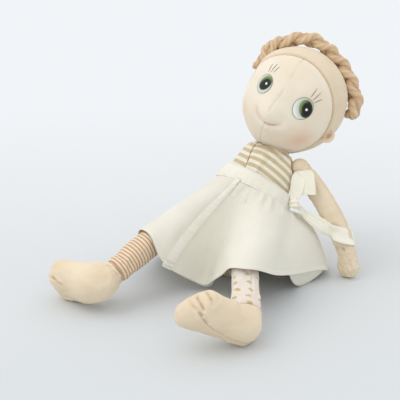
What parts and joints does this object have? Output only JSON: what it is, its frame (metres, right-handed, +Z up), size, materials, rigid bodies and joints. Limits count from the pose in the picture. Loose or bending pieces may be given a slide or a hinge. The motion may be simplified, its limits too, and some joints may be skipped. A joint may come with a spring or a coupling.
{
  "type": "cloth doll",
  "caption": "Seated soft cloth doll with jointed head, arms, legs and feet, a plaited hoop of hair, a wrap skirt with a waistband and a ribbon tie.",
  "frame": {"origin": "on the floor, in the middle of the flat patch that the doll sits on", "axes": "+Z up, -Y the way the doll faces, +X towards its left hand"},
  "size_m": [0.2198, 0.2726, 0.2097],
  "materials": {
    "skin_jersey": "soft matte knit",
    "tan_jersey": "soft matte knit",
    "hair_cloth": "soft matte knit, stuffed",
    "striped_jersey": "khaki and white striped knit",
    "brown_striped_jersey": "brown and cream striped knit",
    "printed_jersey": "off-white knit with small khaki leaves",
    "cotton": "washed plain-weave cotton",
    "eye_thread": "satin-stitched embroidery thread",
    "stuffing": "loose wool stuffing"
  },
  "bodies": {
    "torso": {"torso_right": "striped_jersey", "torso_left": "striped_jersey", "torso_stuffing": "stuffing", "waistband": "cotton", "skirt": "cotton", "skirt_facing": "cotton", "ribbon_knot": "cotton", "ribbon_tail_short": "cotton", "ribbon_tail_long": "cotton"},
    "neck": {"neck_stuffing": "stuffing"},
    "collar": {"neck_sleeve": "skin_jersey"},
    "head": {"face_right": "skin_jersey", "face_left": "skin_jersey", "scalp_right": "tan_jersey", "scalp_left": "tan_jersey", "head_stuffing": "stuffing", "ear_right": "skin_jersey", "ear_left": "skin_jersey", "eye_right": "eye_thread", "eye_left": "eye_thread", "braid_strand_1": "hair_cloth", "braid_strand_2": "hair_cloth", "braid_strand_3": "hair_cloth"},
    "shoulder_right": {"shoulder_round_right": "skin_jersey"},
    "arm_right": {"arm_skin_right": "skin_jersey", "arm_stuffing_right": "stuffing"},
    "hip_right": {"hip_round_right": "striped_jersey"},
    "leg_right": {"leg_skin_right": "brown_striped_jersey", "leg_stuffing_right": "stuffing"},
    "foot_right": {"foot_inner_right": "skin_jersey", "foot_outer_right": "skin_jersey", "foot_stuffing_right": "stuffing"},
    "shoulder_left": {"shoulder_round_left": "skin_jersey"},
    "arm_left": {"arm_skin_left": "skin_jersey", "arm_stuffing_left": "stuffing"},
    "hip_left": {"hip_round_left": "striped_jersey"},
    "leg_left": {"leg_skin_left": "printed_jersey", "leg_stuffing_left": "stuffing"},
    "foot_left": {"foot_inner_left": "skin_jersey", "foot_outer_left": "skin_jersey", "foot_stuffing_left": "stuffing"}
  },
  "joints": [
    {"name": "neck_nod", "type": "hinge", "parent": "torso", "child": "neck", "pos_m": [0.01875, 0.04346, 0.10943], "axis": [0.9626, 0.1266, -0.2395], "range_deg": [-8, 8]},
    {"name": "neck_tilt", "type": "hinge", "parent": "neck", "child": "collar", "pos_m": [0.01875, 0.04346, 0.10943], "axis": [-0.2212, 0.8777, -0.4251], "range_deg": [-8, 8]},
    {"name": "head_turn", "type": "hinge", "parent": "collar", "child": "head", "pos_m": [0.01875, 0.04346, 0.10943], "axis": [0.1564, 0.4622, 0.8729], "range_deg": [-35, 35]},
    {"name": "arm_swing_right", "type": "hinge", "parent": "torso", "child": "shoulder_right", "pos_m": [-0.00771, 0.05172, 0.10178], "axis": [0, 0, 1], "range_deg": [-30, 40]},
    {"name": "arm_lift_right", "type": "hinge", "parent": "shoulder_right", "child": "arm_right", "pos_m": [-0.00771, 0.05172, 0.10178], "axis": [0.9397, 0.342, 0], "range_deg": [0, 55]},
    {"name": "arm_swing_left", "type": "hinge", "parent": "torso", "child": "shoulder_left", "pos_m": [0.04457, 0.04256, 0.09611], "axis": [0, 0, -1], "range_deg": [-40, 35], "deforming": ["ribbon_tail_long", "ribbon_tail_short"]},
    {"name": "arm_lift_left", "type": "hinge", "parent": "shoulder_left", "child": "arm_left", "pos_m": [0.04457, 0.04256, 0.09611], "axis": [0, -1, 0], "range_deg": [0, 55], "deforming": ["ribbon_tail_long", "ribbon_tail_short"]},
    {"name": "leg_spread_right", "type": "hinge", "parent": "torso", "child": "hip_right", "pos_m": [-0.0185, -0.0167, 0.02341], "axis": [0, 0, -1], "range_deg": [-8, 15], "deforming": ["skirt", "skirt_facing"]},
    {"name": "leg_swing_right", "type": "hinge", "parent": "hip_right", "child": "leg_right", "pos_m": [-0.0185, -0.0167, 0.02341], "axis": [0.9336, -0.3584, 0], "range_deg": [0, 60], "deforming": ["skirt", "skirt_facing"]},
    {"name": "foot_turn_right", "type": "hinge", "parent": "leg_right", "child": "foot_right", "pos_m": [-0.05471, -0.11102, 0.03111], "axis": [0.339, 0.883, 0.3246], "range_deg": [-25, 25]},
    {"name": "leg_spread_left", "type": "hinge", "parent": "torso", "child": "hip_left", "pos_m": [0.0185, -0.0167, 0.02341], "axis": [0, 0, 1], "range_deg": [-8, 15], "deforming": ["skirt", "skirt_facing"]},
    {"name": "leg_swing_left", "type": "hinge", "parent": "hip_left", "child": "leg_left", "pos_m": [0.0185, -0.0167, 0.02341], "axis": [0.8746, 0.4848, 0], "range_deg": [0, 60], "deforming": ["skirt", "skirt_facing"]},
    {"name": "foot_turn_left", "type": "hinge", "parent": "leg_left", "child": "foot_left", "pos_m": [0.0676, -0.10527, 0.01979], "axis": [0.4584, -0.8269, -0.3258], "range_deg": [-25, 25]}
  ]
}
